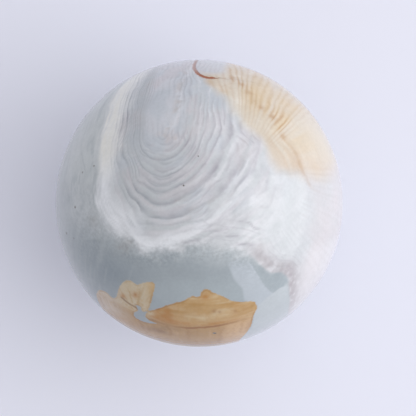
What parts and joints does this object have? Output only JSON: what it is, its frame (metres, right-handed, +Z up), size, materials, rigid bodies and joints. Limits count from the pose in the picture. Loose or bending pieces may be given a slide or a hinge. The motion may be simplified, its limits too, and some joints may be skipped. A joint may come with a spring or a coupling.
{
  "type": "jasper sphere",
  "caption": "Solid polished jasper ball with swirled grey, white and ochre banding, a display stone that rests on a ring stand.",
  "frame": {"origin": "centre of the ball", "axes": "+Z up, out of the face with the oval of nested bands, which is the face that shows on a stand; +Y from the ochre patches towards the open end of the nested bands"},
  "size_m": [0.06, 0.06, 0.06],
  "materials": {
    "polished_jasper": "hand polished to a glassy shine, with a few pinhead pits"
  },
  "bodies": {
    "root": {"jasper_sphere": "polished_jasper"}
  },
  "joints": []
}
